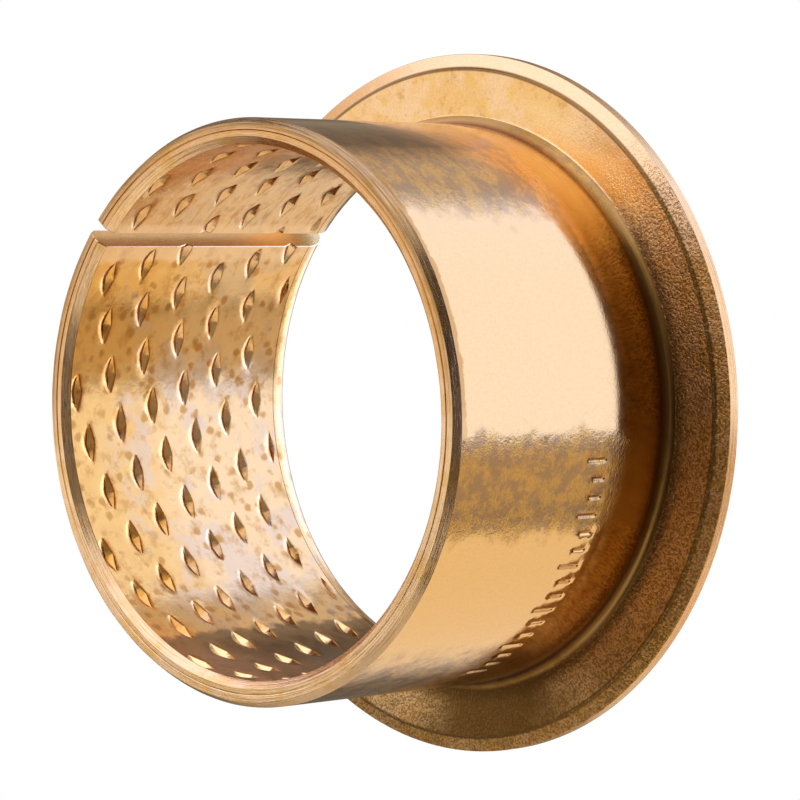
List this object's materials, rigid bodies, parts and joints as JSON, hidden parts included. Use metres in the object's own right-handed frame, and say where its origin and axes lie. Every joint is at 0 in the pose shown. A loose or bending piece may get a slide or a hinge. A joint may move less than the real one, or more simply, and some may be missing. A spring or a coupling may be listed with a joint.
{
  "type": "flanged sleeve bushing",
  "caption": "Wrapped bronze sleeve bushing with an outward flange, an open butt seam and diamond grease pockets in the bore; carries a turning shaft.",
  "frame": {"origin": "centre of the flange's thrust face, on the bore axis", "axes": "+Z along the bore axis from the flange to the free end of the sleeve; +X towards the butt seam; +Y completes the right-handed set"},
  "size_m": [0.055, 0.055, 0.025],
  "materials": {
    "tin_bronze": "rolled strip, polished by the forming tools, with heat and handling stains"
  },
  "bodies": {
    "root": {"flanged_bush": "tin_bronze"}
  },
  "joints": []
}
